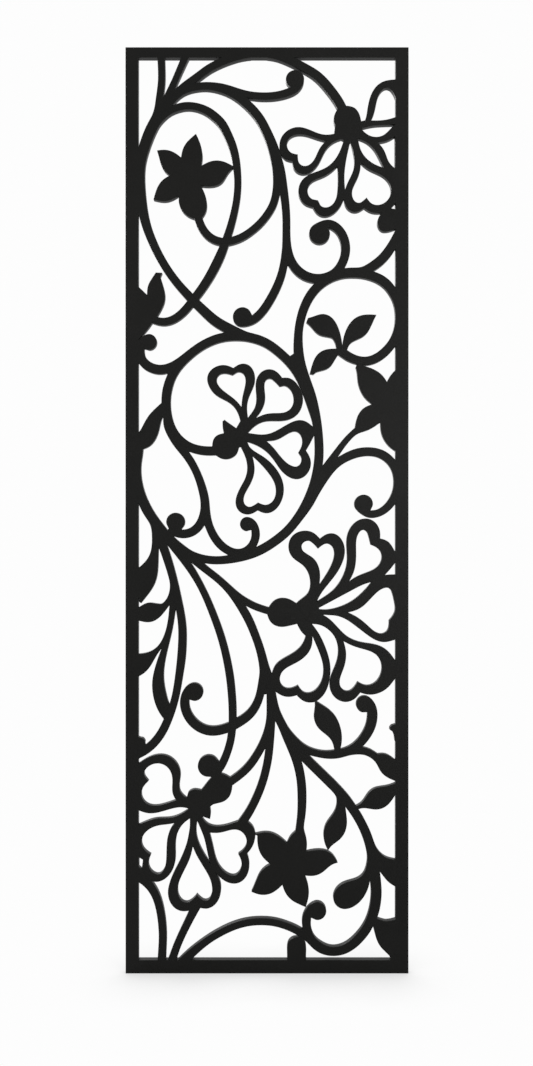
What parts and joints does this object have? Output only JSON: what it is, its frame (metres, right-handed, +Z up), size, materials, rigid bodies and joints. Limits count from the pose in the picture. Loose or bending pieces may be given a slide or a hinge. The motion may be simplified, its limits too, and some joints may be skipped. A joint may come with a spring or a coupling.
{
  "type": "garden screen",
  "caption": "Tall black metal garden screen: a flat bar frame filled with a cut plate of curling vines, leaves, star flowers and open heart-petalled rosettes.",
  "frame": {"origin": "middle of the bottom edge, half way across the width and half way through the depth: the centre of the two fixing holes, on the face that stands on the base", "axes": "+X to the viewer's right, +Y away from the viewer, +Z up; the front faces -Y"},
  "size_m": [0.55, 0.012, 1.8],
  "materials": {
    "powder_coat": "satin black powder coat",
    "black_screw": "matt black"
  },
  "bodies": {
    "root": {"top_rail": "powder_coat", "bottom_rail": "powder_coat", "left_stile": "powder_coat", "right_stile": "powder_coat", "scroll_panel": "powder_coat", "corner_screws": "black_screw", "panel_screws": "black_screw"}
  },
  "joints": []
}
